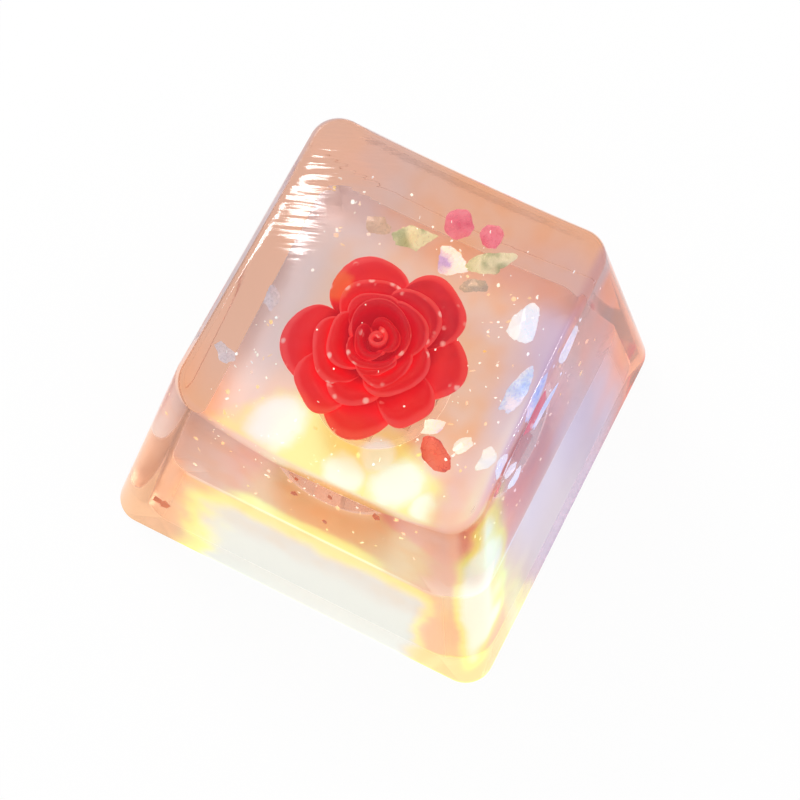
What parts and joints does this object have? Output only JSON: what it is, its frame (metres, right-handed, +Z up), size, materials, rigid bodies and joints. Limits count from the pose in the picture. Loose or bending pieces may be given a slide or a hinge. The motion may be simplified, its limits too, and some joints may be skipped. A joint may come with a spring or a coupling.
{
  "type": "keycap",
  "caption": "Clear cast-resin keycap with a dished sloping top, a moulded rose and film flakes set inside, and a cross-socket stem in its hollow underside.",
  "frame": {"origin": "middle of the cap's square foot, on the plane it rests on", "axes": "+Z up out of the dished top, -Y towards the low front edge of the top, X across"},
  "size_m": [0.0182, 0.0182, 0.0124],
  "materials": {
    "resin": "clear gloss, tinted peach",
    "rose_red": "satin",
    "petal_pink": "satin",
    "film_green": "iridescent",
    "film_violet": "iridescent",
    "film_grey": "iridescent",
    "film_tan": "iridescent",
    "film_pearl": "iridescent",
    "film_blue": "iridescent",
    "film_gold": "iridescent"
  },
  "bodies": {
    "root": {"resin_cap": "resin", "rose": "rose_red", "petal_scrap_red": "rose_red", "petal_scrap_wide": "petal_pink", "petal_scrap_small": "petal_pink", "flake_green_short": "film_green", "flake_green_long": "film_green", "flake_violet": "film_violet", "flake_grey": "film_grey", "flake_tan": "film_tan", "flake_white": "film_pearl", "flake_blue": "film_blue", "flake_lavender": "film_violet", "flake_pearl_near": "film_pearl", "flake_pearl_far": "film_pearl", "flake_left_high": "film_pearl", "flake_left_low": "film_tan", "glitter": "film_gold"}
  },
  "joints": []
}
